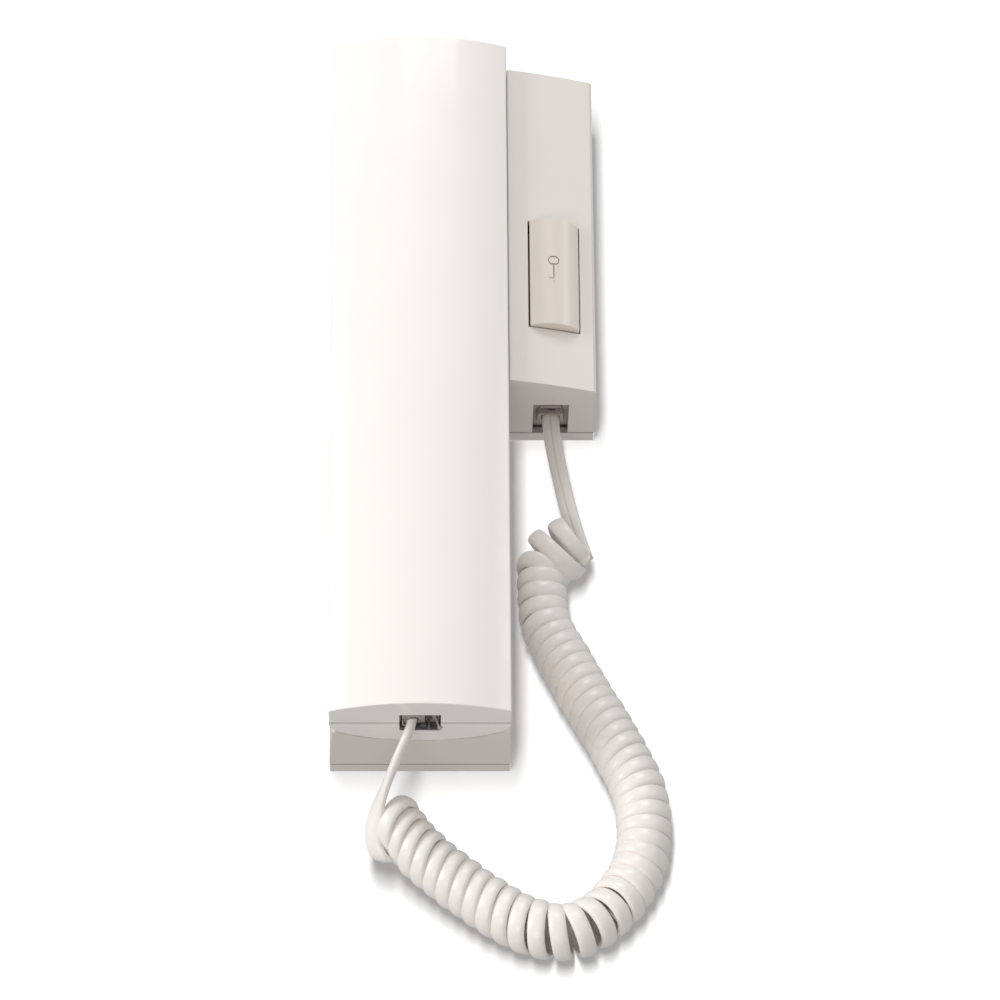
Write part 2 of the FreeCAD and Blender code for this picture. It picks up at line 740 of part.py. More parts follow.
ARC_SHARE = 0.45
BASE_TAIL = [
    (39.5, -12.9, 0.2),
    (39.9, -13, -7),
    (41.5, -13, -16.5),
    (43.8, -12.8, -26.8),
    (46.8, -12.3, -36.6),
    (48.9, -12, -45.6),
]
COIL = [
    (45, -12, -40.5),
    (38.5, -12, -47.5),
    (36, -11.8, -57),
    (37, -11.2, -67.5),
    (42, -10.8, -77.8),
    (48.8, -10.4, -90.5),
    (59, -10, -108.3),
    (64.8, -9.9, -121.5),
    (66, -9.9, -135),
    (63, -10, -147.5),
    (55, -10, -158.5),
    (44, -10, -165.2),
    (32.5, -10.3, -163),
    (21, -11.2, -156.2),
    (9.5, -13.2, -148.4),
    (-0.5, -16.4, -140),
    (-6.5, -19.5, -132.5),
]
HANDSET_TAIL = [
    (-1.9, -37, -109),
    (-2.6, -36.6, -113.5),
    (-4.9, -34.6, -118.5),
    (-8, -30.8, -123.8),
    (-10.9, -26.9, -129.5),
    (-12.9, -23.6, -135.5),
    (-13, -21.2, -141),
    (-9.5, -19.6, -144.6),
]


def tube(points, diameter):
    """A round tube along straight runs, with an arc at each inner point."""
    spots = [Vector(*point) for point in points]
    edges = []
    here = spots[0]
    length = 0
    radii = []
    for before, corner, after in zip(spots, spots[1:], spots[2:]):
        come = corner - before
        go = after - corner
        turn = come.getAngle(go)
        reach = ARC_SHARE * min(come.Length, go.Length)
        radius = reach / math.tan(turn / 2)
        radii.append(round(radius, 1))
        start = corner - Vector(come).normalize() * reach
        stop = corner + Vector(go).normalize() * reach
        inward = (Vector(go).normalize() - Vector(come).normalize()).normalize()
        middle = corner + inward * (radius / math.cos(turn / 2) - radius)
        edges.append(Part.LineSegment(here, start).toShape())
        edges.append(Part.Arc(start, middle, stop).toShape())
        length += (start - here).Length + radius * turn
        here = stop
    edges.append(Part.LineSegment(here, spots[-1]).toShape())
    length += (spots[-1] - here).Length
    ring = Part.makeCircle(diameter / 2, spots[0], spots[1] - spots[0])
    solid = Part.Wire(edges).makePipeShell([Part.Wire([ring])], True, False)
    expected = math.pi * diameter**2 / 4 * length
    print(f"radii {radii}, length {length:.1f}, volume {solid.Volume / expected:.4f} of section times length")
    if abs(solid.Volume / expected - 1) > 0.01:
        raise RuntimeError("a cord's tube has lost its section")
    return solid


def make_cord():
    stretches = (
        ("cord_tail_base", BASE_TAIL, "FlatCordTube"),
        ("cord_coil", COIL, "CoilOuter"),
        ("cord_tail_handset", HANDSET_TAIL, "FlatCordTube"),
    )
    for label, points, diameter in stretches:
        stretch = keep(doc.addObject("Part::Feature", label + "_tube"), label)
        stretch.Shape = tube(points, size(diameter))
        stretch.Placement = Placement()


def write_parts():
    doc.recompute()
    for item in doc.Objects:
        if "Invalid" in item.State or "Error" in item.State:
            raise RuntimeError(f"{item.Label} is {item.State}")
    os.makedirs("parts", exist_ok=True)
    for item in SUB_PARTS:
        shape = item.Shape
        if shape.isNull() or not shape.isValid() or not shape.Solids:
            raise RuntimeError(f"{item.Label} has no valid solid")
        shape.exportStep(f"parts/{item.Label}.step")
        print(item.Label, len(shape.Solids), round(shape.Volume), "mm3")


make_back_plate()
make_base_cover()
make_cover_screws()
make_main_board()
make_board_screws()
make_terminals()
make_board_parts()
make_door_button()
make_door_button_spring()
make_hook()
make_jack("base_jack", "JackAcross", "-BasePlugOut", 0.6, 0, 7.3)
make_plug("plug_base", "JackAcross", "-BasePlugOut", 0, 0)
make_handset_front()
make_handset_back()
make_handset_insides()
make_jack("handset_jack", "HandsetPlugAcross", "-HandsetPlugOut", -108, 90, 4.9)
make_plug("plug_handset", "HandsetPlugAcross", "-HandsetPlugOut", -108.4, 90)
make_cord()
write_parts()
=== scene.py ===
import math

import bmesh
import bpy
import numpy as np
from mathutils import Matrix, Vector


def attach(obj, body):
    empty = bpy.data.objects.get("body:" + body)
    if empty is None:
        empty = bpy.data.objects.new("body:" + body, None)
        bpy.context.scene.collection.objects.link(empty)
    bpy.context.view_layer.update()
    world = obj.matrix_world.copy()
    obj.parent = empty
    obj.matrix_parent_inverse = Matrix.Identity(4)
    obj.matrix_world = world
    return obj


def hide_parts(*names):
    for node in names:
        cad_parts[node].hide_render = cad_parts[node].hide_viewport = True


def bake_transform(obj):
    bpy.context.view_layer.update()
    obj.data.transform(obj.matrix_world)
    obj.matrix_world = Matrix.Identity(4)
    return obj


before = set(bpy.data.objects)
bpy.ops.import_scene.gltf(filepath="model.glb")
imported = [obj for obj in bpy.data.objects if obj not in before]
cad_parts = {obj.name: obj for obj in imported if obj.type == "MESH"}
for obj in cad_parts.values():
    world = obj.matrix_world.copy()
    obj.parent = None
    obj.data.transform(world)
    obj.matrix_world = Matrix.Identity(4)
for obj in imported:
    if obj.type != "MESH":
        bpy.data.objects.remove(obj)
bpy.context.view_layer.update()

# ---------------------------------------------------------------------------------------------------------
# Camera: below the phone and looking up at it, off to the left of the picture's middle. Metres and degrees.

CAMERA_PLACE = (-0.0032, -1.4454, -0.6957)
CAMERA_PITCH = 25
CAMERA_LENS = 189.7  # millimetres, for a sensor that is SENSOR_WIDTH wide
SENSOR_WIDTH = 36
CAMERA_SHIFT = 0.091


def make_camera():
    data = bpy.data.cameras.new("camera")
    data.lens = CAMERA_LENS
    data.sensor_width = SENSOR_WIDTH
    data.shift_x = CAMERA_SHIFT
    camera = bpy.data.objects.new("camera", data)
    camera.location = CAMERA_PLACE
    camera.rotation_euler = (math.radians(90 + CAMERA_PITCH), 0, 0)
    bpy.context.scene.collection.objects.link(camera)
    bpy.context.scene.camera = camera


make_camera()

# ---------------------------------------------------------------------------------------------------------
# Lines and tubes, for the cord and for the small bars in the sockets


def sampled(points, resolution=8):
    """Points along the smooth line that the control points shape, as numpy rows."""
    data = bpy.data.curves.new("route", "CURVE")
    data.dimensions = "3D"
    spline = data.splines.new("NURBS")
    spline.points.add(len(points) - 1)
    for item, place in zip(spline.points, points):
        item.co = (*place, 1)
    spline.order_u = 3
    spline.use_endpoint_u = True
    spline.resolution_u = resolution
    holder = bpy.data.objects.new("route", data)
    mesh = bpy.data.meshes.new_from_object(holder)
    line = np.array([v.co for v in mesh.vertices], float).reshape(-1, 3)
    bpy.data.objects.remove(holder)
    bpy.data.meshes.remove(mesh)
    bpy.data.curves.remove(data)
    return line


def unit(rows):
    return rows / np.linalg.norm(rows, axis=-1, keepdims=True)


def lengths_along(line):
    return np.concatenate([[0], np.cumsum(np.linalg.norm(np.diff(line, axis=0), axis=1))])


def smooth(mesh):
    mesh.polygons.foreach_set("use_smooth", [True] * len(mesh.polygons))
    return mesh


def tube(name, line, heading, across, section, scale=1):
    """A closed mesh of the section's outline, given across and square to the line, swept along it."""
    across = unit(across - heading * np.sum(across * heading, axis=1, keepdims=True))
    facing = np.cross(heading, across)
    wide, thick = section
    rings = line[:, None] + across[:, None] * wide[None, :, None] + facing[:, None] * thick[None, :, None]
    sides = len(wide)
    faces = []
    for ring in range(len(line) - 1):
        for k in range(sides):
            a = ring * sides + k
            b = ring * sides + (k + 1) % sides
            faces.append((a, b, b + sides, a + sides))
    last = (len(line) - 1) * sides
    faces.append(tuple(reversed(range(sides))))
    faces.append(tuple(range(last, last + sides)))
    mesh = bpy.data.meshes.new(name)
    mesh.from_pydata((rings.reshape(-1, 3) * scale).tolist(), [], faces)
    return smooth(mesh)


# ---------------------------------------------------------------------------------------------------------
# Cord: a flat four-wire cord, with a straight tail at each end of a curly stretch. Points in metres.

# Each tail's points, and the direction that the cord's wide side takes there.
BASE_TAIL = [
    ((0.0395, -0.0129, 0.0090), (1, 0, 0)),
    ((0.0395, -0.0129, 0.0002), (1, 0, 0)),
    ((0.0399, -0.0130, -0.0070), (1, -0.1, 0)),
    ((0.0415, -0.0130, -0.0160), (1, -0.4, 0.1)),
    ((0.0434, -0.0128, -0.0258), (1, -0.5, 0.2)),
    ((0.0455, -0.0125, -0.0345), (1, -0.45, 0.3)),
    ((0.0476, -0.0121, -0.0420), (0.95, -0.3, 0.45)),
    ((0.0499, -0.0117, -0.0486), (0.8, -0.1, 0.6)),
]
HANDSET_TAIL = [
    ((-0.0087, -0.0150, -0.1405), (0.72, -0.5, -0.48)),
    ((-0.0100, -0.0172, -0.1452), (0.75, -0.5, -0.4)),
    ((-0.0132, -0.0195, -0.1427), (0.85, -0.5, -0.1)),
    ((-0.0136, -0.0222, -0.1370), (0.9, -0.45, 0.1)),
    ((-0.0123, -0.0252, -0.1316), (0.6, -0.8, 0)),
    ((-0.0098, -0.0290, -0.1262), (0.15, -1, 0)),
    ((-0.0064, -0.0333, -0.1190), (0, -1, 0)),
    ((-0.0036, -0.0364, -0.1135), (0, -1, 0)),
    ((-0.0019, -0.0370, -0.1090), (0, -1, 0)),
    ((-0.0019, -0.0370, -0.1000), (0, -1, 0)),
]
# The curly stretch's axis; and at each point of it the pitch and radius in millimetres, and how far a turn
# leans, in degrees: in the wall's plane, anticlockwise from the front, and towards the wall.
COIL = [
    ((0.0455, -0.0120, -0.0400), (6.0, 6.8, -37, 13)),
    ((0.0446, -0.0120, -0.0418), (6.0, 6.6, -34, 15)),
    ((0.0406, -0.0120, -0.0464), (5.2, 9.4, 2, 20)),
    ((0.0364, -0.0120, -0.0489), (5.2, 6.5, 4, 16)),
    ((0.0364, -0.0120, -0.0540), (5.0, 6.2, -6, 2)),
    ((0.0363, -0.0120, -0.0591), (5.0, 6.2, -10, 0)),
    ((0.0366, -0.0118, -0.0640), (4.8, 6.2, -9, -3)),
    ((0.0377, -0.0115, -0.0692), (4.5, 6.4, -6, -8)),
    ((0.0420, -0.0108, -0.0778), (4.1, 6.8, -2, -16)),
    ((0.0488, -0.0104, -0.0905), (4.1, 6.9, -1, -19)),
    ((0.0590, -0.0100, -0.1083), (4.1, 6.9, 5, -17)),
    ((0.0648, -0.0099, -0.1215), (4.2, 6.9, 0, -12)),
    ((0.0660, -0.0099, -0.1350), (4.3, 6.9, -10, -8)),
    ((0.0630, -0.0100, -0.1475), (4.6, 6.9, -16, -13)),
    ((0.0550, -0.0100, -0.1585), (5.2, 6.9, -5, -24)),
    ((0.0440, -0.0100, -0.1652), (5.4, 7.1, 0, -5)),
    ((0.0325, -0.0103, -0.1636), (5.1, 7.2, 2, 11)),
    ((0.0207, -0.0112, -0.1570), (4.7, 7.1, 5, 16)),
    ((0.0092, -0.0132, -0.1492), (4.6, 7.0, 7, 13)),
    ((-0.0010, -0.0160, -0.1410), (4.4, 7.0, 11, 18)),
    ((-0.0058, -0.0186, -0.1356), (4.3, 7.0, 13, 21)),
    ((-0.0079, -0.0198, -0.1331), (4.3, 7.2, 13, 21)),
]
CORD_WIDTH = 0.0052
CORD_THICK = 0.0027
TURN_STEPS = 24  # points in a turn
LINE_STEPS = 3  # rings of the cord's mesh between two points
FIRST_PHASE = 95  # degrees round a turn from its wall side, where the curly stretch begins
LAST_PHASE = 20  # and where it ends
UNEVEN = ((0.012, 2.3), (0.01, 5.1))  # how much the turns' radius varies, and how fast, in radians a turn
SECTION_POWER = 2.35  # of the superellipse that is the cord's outline: 2 is an ellipse
SECTION_ANGLES = [*range(0, 76, 15), 82, 86, 90, 94, 98, *range(105, 360, 15)]  # closer at the crease, at 90
CREASE_DEPTH = 0.0004


def helix_points():
    """The curly stretch's points and the axis of the turn at each, from the base end to the handset end."""
    axis = sampled([place for place, _ in COIL])
    pitch, radius, lean = sampled([turn[:3] for _, turn in COIL]).T
    wallward = np.radians(sampled([(turn[3], 0, 0) for _, turn in COIL])[:, 0])
    along = lengths_along(axis)
    heading = np.gradient(axis, along, axis=0)
    bearing = np.unwrap(np.arctan2(heading[:, 2], heading[:, 0])) + np.radians(lean)
    pitch = pitch / 1000
    turns = np.concatenate([[0], np.cumsum(np.diff(along) / ((pitch[1:] + pitch[:-1]) / 2))])
    whole = round(turns[-1]) + (LAST_PHASE - FIRST_PHASE) / 360
    turns *= whole / turns[-1]
    where = np.linspace(0, whole, int(whole * TURN_STEPS) + 1)

    def at(values):
        return np.interp(where, turns, values)

    centre = np.stack([at(axis[:, k]) for k in range(3)], axis=1)
    flat = np.cos(at(wallward))
    normal = np.stack([np.cos(at(bearing)) * flat, np.sin(at(wallward)), np.sin(at(bearing)) * flat], axis=1)
    to_wall = unit(np.array([0, 1, 0]) - normal * normal[:, 1:2])
    aside = np.cross(normal, to_wall)
    angle = (math.radians(FIRST_PHASE) + 2 * math.pi * where)[:, None]
    spoke = np.cos(angle) * to_wall + np.sin(angle) * aside
    wobble = 1 + sum(share * np.sin(rate * where) for share, rate in UNEVEN)
    return centre + spoke * (at(radius) / 1000 * wobble)[:, None], normal


def cord_section():
    """The cord's outline, across its width and its thickness, with a crease along one flat side."""
    angles = np.radians(SECTION_ANGLES)
    blunt = 2 / SECTION_POWER
    wide = np.sign(np.cos(angles)) * np.abs(np.cos(angles)) ** blunt * CORD_WIDTH / 2
    thick = np.sign(np.sin(angles)) * np.abs(np.sin(angles)) ** blunt * CORD_THICK / 2
    thick[SECTION_ANGLES.index(90)] -= CREASE_DEPTH
    return wide, thick


def make_cord():
    helix, normal = helix_points()
    points = [*(p for p, _ in BASE_TAIL), *helix.tolist(), *(p for p, _ in HANDSET_TAIL)]
    wide = [*(w for _, w in BASE_TAIL), *(-normal).tolist(), *(w for _, w in HANDSET_TAIL)]
    line = sampled(points, LINE_STEPS)
    along = lengths_along(line)
    heading = unit(np.gradient(line, along, axis=0))
    mesh = tube("curly_cord", line, heading, sampled(wide, LINE_STEPS), cord_section())
    cord = bpy.data.objects.new("curly_cord", mesh)
    bpy.context.scene.collection.objects.link(cord)
    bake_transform(cord)
    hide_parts("cord_tail_base", "cord_coil", "cord_tail_handset")
    return cord


cord = make_cord()

# ---------------------------------------------------------------------------------------------------------
# Materials. Lengths inside a shader are in metres, from each object's own coordinates.


class Shader:
    """A material's node tree, with the few nodes that every finish here is built from."""

    def __init__(self, name):
        self.material = bpy.data.materials.new(name)
        self.material.use_nodes = True
        self.tree = self.material.node_tree
        self.surface = self.tree.nodes["Principled BSDF"]
        self.place = self.tree.nodes.new("ShaderNodeTexCoord").outputs["Object"]

    def node(self, kind, **inputs):
        item = self.tree.nodes.new("ShaderNode" + kind)
        for name, value in inputs.items():
            self.feed(item.inputs[name.replace("_", " ")], value)
        return item

    def feed(self, socket, value):
        if isinstance(value, bpy.types.NodeSocket):
            self.tree.links.new(value, socket)
        else:
            socket.default_value = value

    def noise(self, size, detail=2.0, stretch=(1, 1, 1)):
        """Noise whose features are about this many metres across, from 0 to 1."""
        place = self.node("Mapping", Vector=self.place, Scale=stretch).outputs["Vector"]
        return self.node("TexNoise", Vector=place, Scale=1 / size, Detail=detail).outputs["Fac"]

    def ramp(self, value, low, high, from_low=0.3, from_high=0.7):
        """From low to high as the value goes from from_low to from_high; noise lies mostly in 0.3 to 0.7."""
        item = self.tree.nodes.new("ShaderNodeMapRange")
        for socket, number in zip(item.inputs[:5], (value, from_low, from_high, low, high)):
            self.feed(socket, number)
        return item.outputs["Result"]

    def math(self, operation, *values):
        item = self.tree.nodes.new("ShaderNodeMath")
        item.operation = operation
        for socket, value in zip(item.inputs, values):
            self.feed(socket, value)
        return item.outputs["Value"]

    def mix(self, share, first, second):
        """Colours mixed by a share from 0 to 1."""
        item = self.tree.nodes.new("ShaderNodeMix")
        item.data_type = "RGBA"
        colours = [socket for socket in item.inputs if socket.type == "RGBA"]
        self.feed(item.inputs[0], share)
        self.feed(colours[0], first)
        self.feed(colours[1], second)
        return next(socket for socket in item.outputs if socket.type == "RGBA")

    def bump(self, height, depth, below=None):
        """A relief this many metres deep, over the one below it."""
        item = self.node("Bump", Height=height, Distance=depth, Strength=1.0)
        if below:
            self.feed(item.inputs["Normal"], below)
        return item.outputs["Normal"]

    def finish(self, colour, roughness, normal, **uniform):
        self.feed(self.surface.inputs["Base Color"], colour)
        self.feed(self.surface.inputs["Roughness"], roughness)
        self.feed(self.surface.inputs["Normal"], normal)
        for name, value in uniform.items():
            self.surface.inputs[name.replace("_", " ")].default_value = value
        return self.material


SPECK_TONE = 0.88  # a speck's brightness, as a share of the plastic's
DUST_AND_SHADE_DARK = 0.5  # the most that dust, and the painted shade on the key sign's floor, hide of the plastic under them
DUST_AND_SHADE_TONE = 0.1  # the brightness of the dust and of the key sign's painted shade, as a share of the plastic's
SEAM_CORE = 0.0002  # half the width of a seam's dust line at its full darkness
SEAM_EDGE = 0.0005  # and where it has faded out
SIGN_AXIS = (0.038521, -0.030659)  # X and Y of the axis of the button's rounded front
SIGN_RADIUS = 0.0107  # between the front and the floor of the key sign
SIGN_BOX = ((0.0375, 0.0430), (0.0330, 0.0450))  # across and up


def tint(colour, factor):
    """The colour made darker or lighter, with an alpha of 1."""
    return (*(min(channel * factor, 1) for channel in colour), 1)


def seam_dust(seam):
    """Dust in a thin line along the parting plane at this Y."""

    def share(shader):
        depth = shader.node("SeparateXYZ", Vector=shader.place).outputs["Y"]
        apart = shader.math("ABSOLUTE", shader.math("SUBTRACT", depth, seam))
        return shader.ramp(apart, DUST_AND_SHADE_DARK, 0, from_low=SEAM_CORE, from_high=SEAM_EDGE)

    return share


def sign_floor_shade(shader):
    """Painted shade on the floor of the sunk key sign, darkening it where shade falls in the recess."""
    place = shader.node("SeparateXYZ", Vector=shader.place).outputs
    apart = [shader.math("SUBTRACT", place[axis], middle) for axis, middle in zip("XY", SIGN_AXIS)]
    squares = [shader.math("MULTIPLY", length, length) for length in apart]
    # the sign's sunk floor, inside the radius and the box, gets the painted shade
    share = shader.math("LESS_THAN", shader.math("ADD", *squares), SIGN_RADIUS**2)
    for axis, (low, high) in zip("XZ", SIGN_BOX):
        share = shader.math("MULTIPLY", share, shader.math("GREATER_THAN", place[axis], low))
        share = shader.math("MULTIPLY", share, shader.math("LESS_THAN", place[axis], high))
    return shader.math("MULTIPLY", share, DUST_AND_SHADE_DARK)


def moulded(name, colour, rough, swing=0.04, mottle=0.02, grain=0.0003, grain_depth=0.000004, dust_and_shade=None):
    """Moulded plastic: clouds of tone, specks, and a fine moulded grain over a slow orange peel.

    swing is how far the roughness varies, mottle how far the tone does, and grain the size of the moulded
    grain. The last argument is a function that gives how much each point is darkened: by dust along the
    seams, and by painted shade on the key sign's floor.
    """
    shader = Shader(name)
    clouds = shader.ramp(shader.noise(size=0.05, detail=3), 0, 1)
    tone = shader.mix(clouds, tint(colour, 1 - mottle), tint(colour, 1 + mottle))
    specks = shader.ramp(shader.noise(size=0.0006, detail=1), 0, 0.25, from_low=0.74, from_high=0.8)
    tone = shader.mix(specks, tone, tint(colour, SPECK_TONE))
    if dust_and_shade:
        # darkened by dust along the seams and, on the button, by painted shade on the key sign's floor
        tone = shader.mix(dust_and_shade(shader), tone, tint(colour, DUST_AND_SHADE_TONE))
    peel = shader.noise(size=0.0035, detail=1)
    fine = shader.noise(grain, detail=2)
    rubbed = shader.ramp(shader.noise(size=0.014, detail=4), rough - swing, rough + swing)
    normal = shader.bump(fine, grain_depth, below=shader.bump(peel, depth=0.000012))
    return shader.finish(tone, rubbed, normal)


def metal(name, colour, rough, stretch):
    """Plated or drawn metal: fine scratches along one direction, and dull patches."""
    shader = Shader(name)
    scratches = shader.noise(size=0.0004, detail=3, stretch=stretch)
    patches = shader.ramp(shader.noise(size=0.003, detail=3), 0, 1)
    tone = shader.mix(patches, tint(colour, 0.82), tint(colour, 1.06))
    rubbed = shader.ramp(scratches, rough - 0.08, rough + 0.14)
    return shader.finish(tone, rubbed, shader.bump(scratches, depth=0.00001), Metallic=1.0)


def vinyl(name, colour, rough):
    """Cord jacket: satin vinyl, greyer where hands and dust reach it, with fine dragged marks."""
    shader = Shader(name)
    handled = shader.ramp(shader.noise(size=0.02, detail=3), 0, 1)
    tone = shader.mix(handled, tint(colour, 0.955), tint(colour, 1.02))
    dragged = shader.noise(size=0.0016, detail=4, stretch=(1, 1, 2.5))
    marks = shader.ramp(dragged, 0, 0.25, from_low=0.62, from_high=0.8)
    tone = shader.mix(marks, tone, tint(colour, 0.84))
    rubbed = shader.ramp(shader.noise(size=0.006, detail=3), rough - 0.06, rough + 0.08)
    fine = shader.noise(size=0.0005, detail=3)
    waves = shader.bump(shader.noise(size=0.005, detail=1), depth=0.00006)
    return shader.finish(tone, rubbed, shader.bump(fine, depth=0.000015, below=waves))


def clear(name, colour, rough):
    """Clear moulding: a smoky body with flow lines and faint haze."""
    shader = Shader(name)
    flow = shader.noise(size=0.0012, detail=3, stretch=(1, 1, 0.3))
    tone = shader.mix(shader.ramp(flow, 0, 1), tint(colour, 0.88), tint(colour, 1.05))
    rubbed = shader.ramp(shader.noise(size=0.002, detail=2), rough, rough + 0.12)
    return shader.finish(tone, rubbed, shader.bump(flow, depth=0.00003), Transmission_Weight=0.2, IOR=1.49)


MASK_GREEN = (0.030, 0.150, 0.060, 1)
TRACK_GREEN = (0.060, 0.260, 0.110, 1)
TIN = (0.62, 0.60, 0.55, 1)


def circuit_board(name):
    """Green solder mask over raised copper tracks, with tinned pads."""
    shader = Shader(name)
    place = shader.node("Mapping", Vector=shader.place, Rotation=(math.radians(90), 0, 0)).outputs["Vector"]
    tracks = shader.tree.nodes.new("ShaderNodeTexBrick")
    shader.feed(tracks.inputs["Vector"], place)
    for socket, number in (("Scale", 90), ("Mortar Size", 0.045), ("Mortar Smooth", 0.2), ("Bias", 0.1)):
        tracks.inputs[socket].default_value = number
    track = shader.ramp(tracks.outputs["Fac"], 0, 1, from_low=0, from_high=1)
    cells = shader.tree.nodes.new("ShaderNodeTexVoronoi")
    shader.feed(cells.inputs["Vector"], place)
    cells.inputs["Scale"].default_value = 260
    pads = shader.ramp(cells.outputs["Distance"], 1, 0, from_low=0.16, from_high=0.2)
    mask = shader.mix(track, MASK_GREEN, TRACK_GREEN)
    tone = shader.mix(pads, mask, TIN)
    rubbed = shader.ramp(shader.noise(size=0.004, detail=3), 0.3, 0.42)
    return shader.finish(tone, rubbed, shader.bump(track, depth=0.00006))


def slot_name(material):
    """A material's name, without the number that Blender may add to it."""
    return material.name.split(".")[0]


HANDSET_SEAM = -0.0367  # Y of the plane where the handset's shells meet
BASE_SEAM = -0.005  # and where the base's cover meets its back plate
FINISHES = {
    slot_name(finish): finish
    for finish in (
        moulded("handset_abs", (0.93, 0.91, 0.885), 0.15, mottle=0.012, dust_and_shade=seam_dust(HANDSET_SEAM)),
        moulded(
            "base_abs", (0.775, 0.74, 0.705), 0.30,
            swing=0.02, mottle=0.012, grain_depth=0.000008, dust_and_shade=seam_dust(BASE_SEAM),
        ),
        # the button's key sign floor is darkened by painted shade
        moulded(
            "button_abs", (0.80, 0.75, 0.69), 0.30,
            swing=0.015, mottle=0.01, grain_depth=0.000006, dust_and_shade=sign_floor_shade,
        ),
        clear("clear_plastic", (0.50, 0.44, 0.41), 0.12),
        vinyl("cord_vinyl", (0.92, 0.89, 0.86), 0.28),
        moulded("jack_plastic", (0.42, 0.385, 0.36), 0.5, mottle=0.05, grain_depth=0.00001),
        # a darkened copy of the jack plastic: painted shade for the inside of the handset socket and the
        # base plug's latch slot
        moulded("jack_dark", (0.115, 0.108, 0.104), 0.45, mottle=0.08, grain_depth=0.00001),
        clear("clear_light", (0.62, 0.60, 0.59), 0.06),
        circuit_board("board"),
        moulded("dark_plastic", (0.035, 0.035, 0.037), 0.42, mottle=0.12, grain_depth=0.00002),
        moulded("green_plastic", (0.05, 0.26, 0.12), 0.36, mottle=0.06, grain_depth=0.00001),
        metal("steel", (0.56, 0.57, 0.58), 0.32, (1, 6, 1)),
        metal("aluminium", (0.74, 0.74, 0.75), 0.26, (1, 0.15, 1)),
        moulded("rubber", (0.03, 0.03, 0.03), 0.78, mottle=0.2, grain=0.0002, grain_depth=0.00003),
    )
}


def finish_nodes():
    """Gives every CAD node, in the slot that the record names for it, its finish."""
    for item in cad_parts.values():
        for place, old in enumerate(item.data.materials):
            item.data.materials[place] = FINISHES[slot_name(old)]


finish_nodes()
cord.data.materials.append(FINISHES["cord_vinyl"])

# ---------------------------------------------------------------------------------------------------------
# Small parts of the two sockets. Sizes in millimetres.

MILLIMETRE = 0.001
BEVEL = 0.12
LENS_THINNING = 0.35  # how much flatter than an oval ball a lens gets towards its rim


def add_piece(name, mesh, finish, body):
    """An object for the mesh, with its own finish, that rides on the body."""
    mesh.materials.append(FINISHES[finish])
    item = bpy.data.objects.new(name, mesh)
    bpy.context.scene.collection.objects.link(item)
    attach(item, body)


def blocks(name, boxes, bevel=BEVEL):
    """A mesh of bevelled blocks, each given by its low and high corners."""
    shape = bmesh.new()
    for low, high in boxes:
        made = bmesh.ops.create_cube(shape, size=1)
        for vert in made["verts"]:
            vert.co = [(a + b) / 2 + side * (b - a) for a, b, side in zip(low, high, vert.co)]
    bmesh.ops.bevel(shape, geom=list(shape.edges), offset=bevel, segments=2, affect="EDGES", profile=0.5)
    bmesh.ops.scale(shape, vec=[MILLIMETRE] * 3, verts=list(shape.verts))
    mesh = bpy.data.meshes.new(name)
    shape.to_mesh(mesh)
    shape.free()
    return mesh


def strap(name, points, wide, thick, sides=12):
    """A mesh of an oval bar along a smooth line; wide is measured along Y, thick across it."""
    line = sampled(points, resolution=6)
    heading = unit(np.gradient(line, axis=0))
    across = np.tile([0.0, 1.0, 0.0], (len(line), 1))
    angle = np.linspace(0, 2 * math.pi, sides, endpoint=False)
    section = (np.cos(angle) * wide / 2, np.sin(angle) * thick / 2)
    return tube(name, line, heading, across, section, MILLIMETRE)


def lens(name, centre, half, steps=24):
    """A mesh of a flat oval lens that faces -Y; half is half its width, its thickness and its height."""
    shape = bmesh.new()
    bmesh.ops.create_uvsphere(shape, u_segments=steps, v_segments=steps // 2, radius=1)
    for vert in shape.verts:
        x, _, z = vert.co
        offset = [way * size for way, size in zip(vert.co, half)]
        offset[1] *= 1 - LENS_THINNING * (x * x + z * z)
        vert.co = [(middle + step) / 1000 for middle, step in zip(centre, offset)]
    mesh = bpy.data.meshes.new(name)
    shape.to_mesh(mesh)
    shape.free()
    return smooth(mesh)


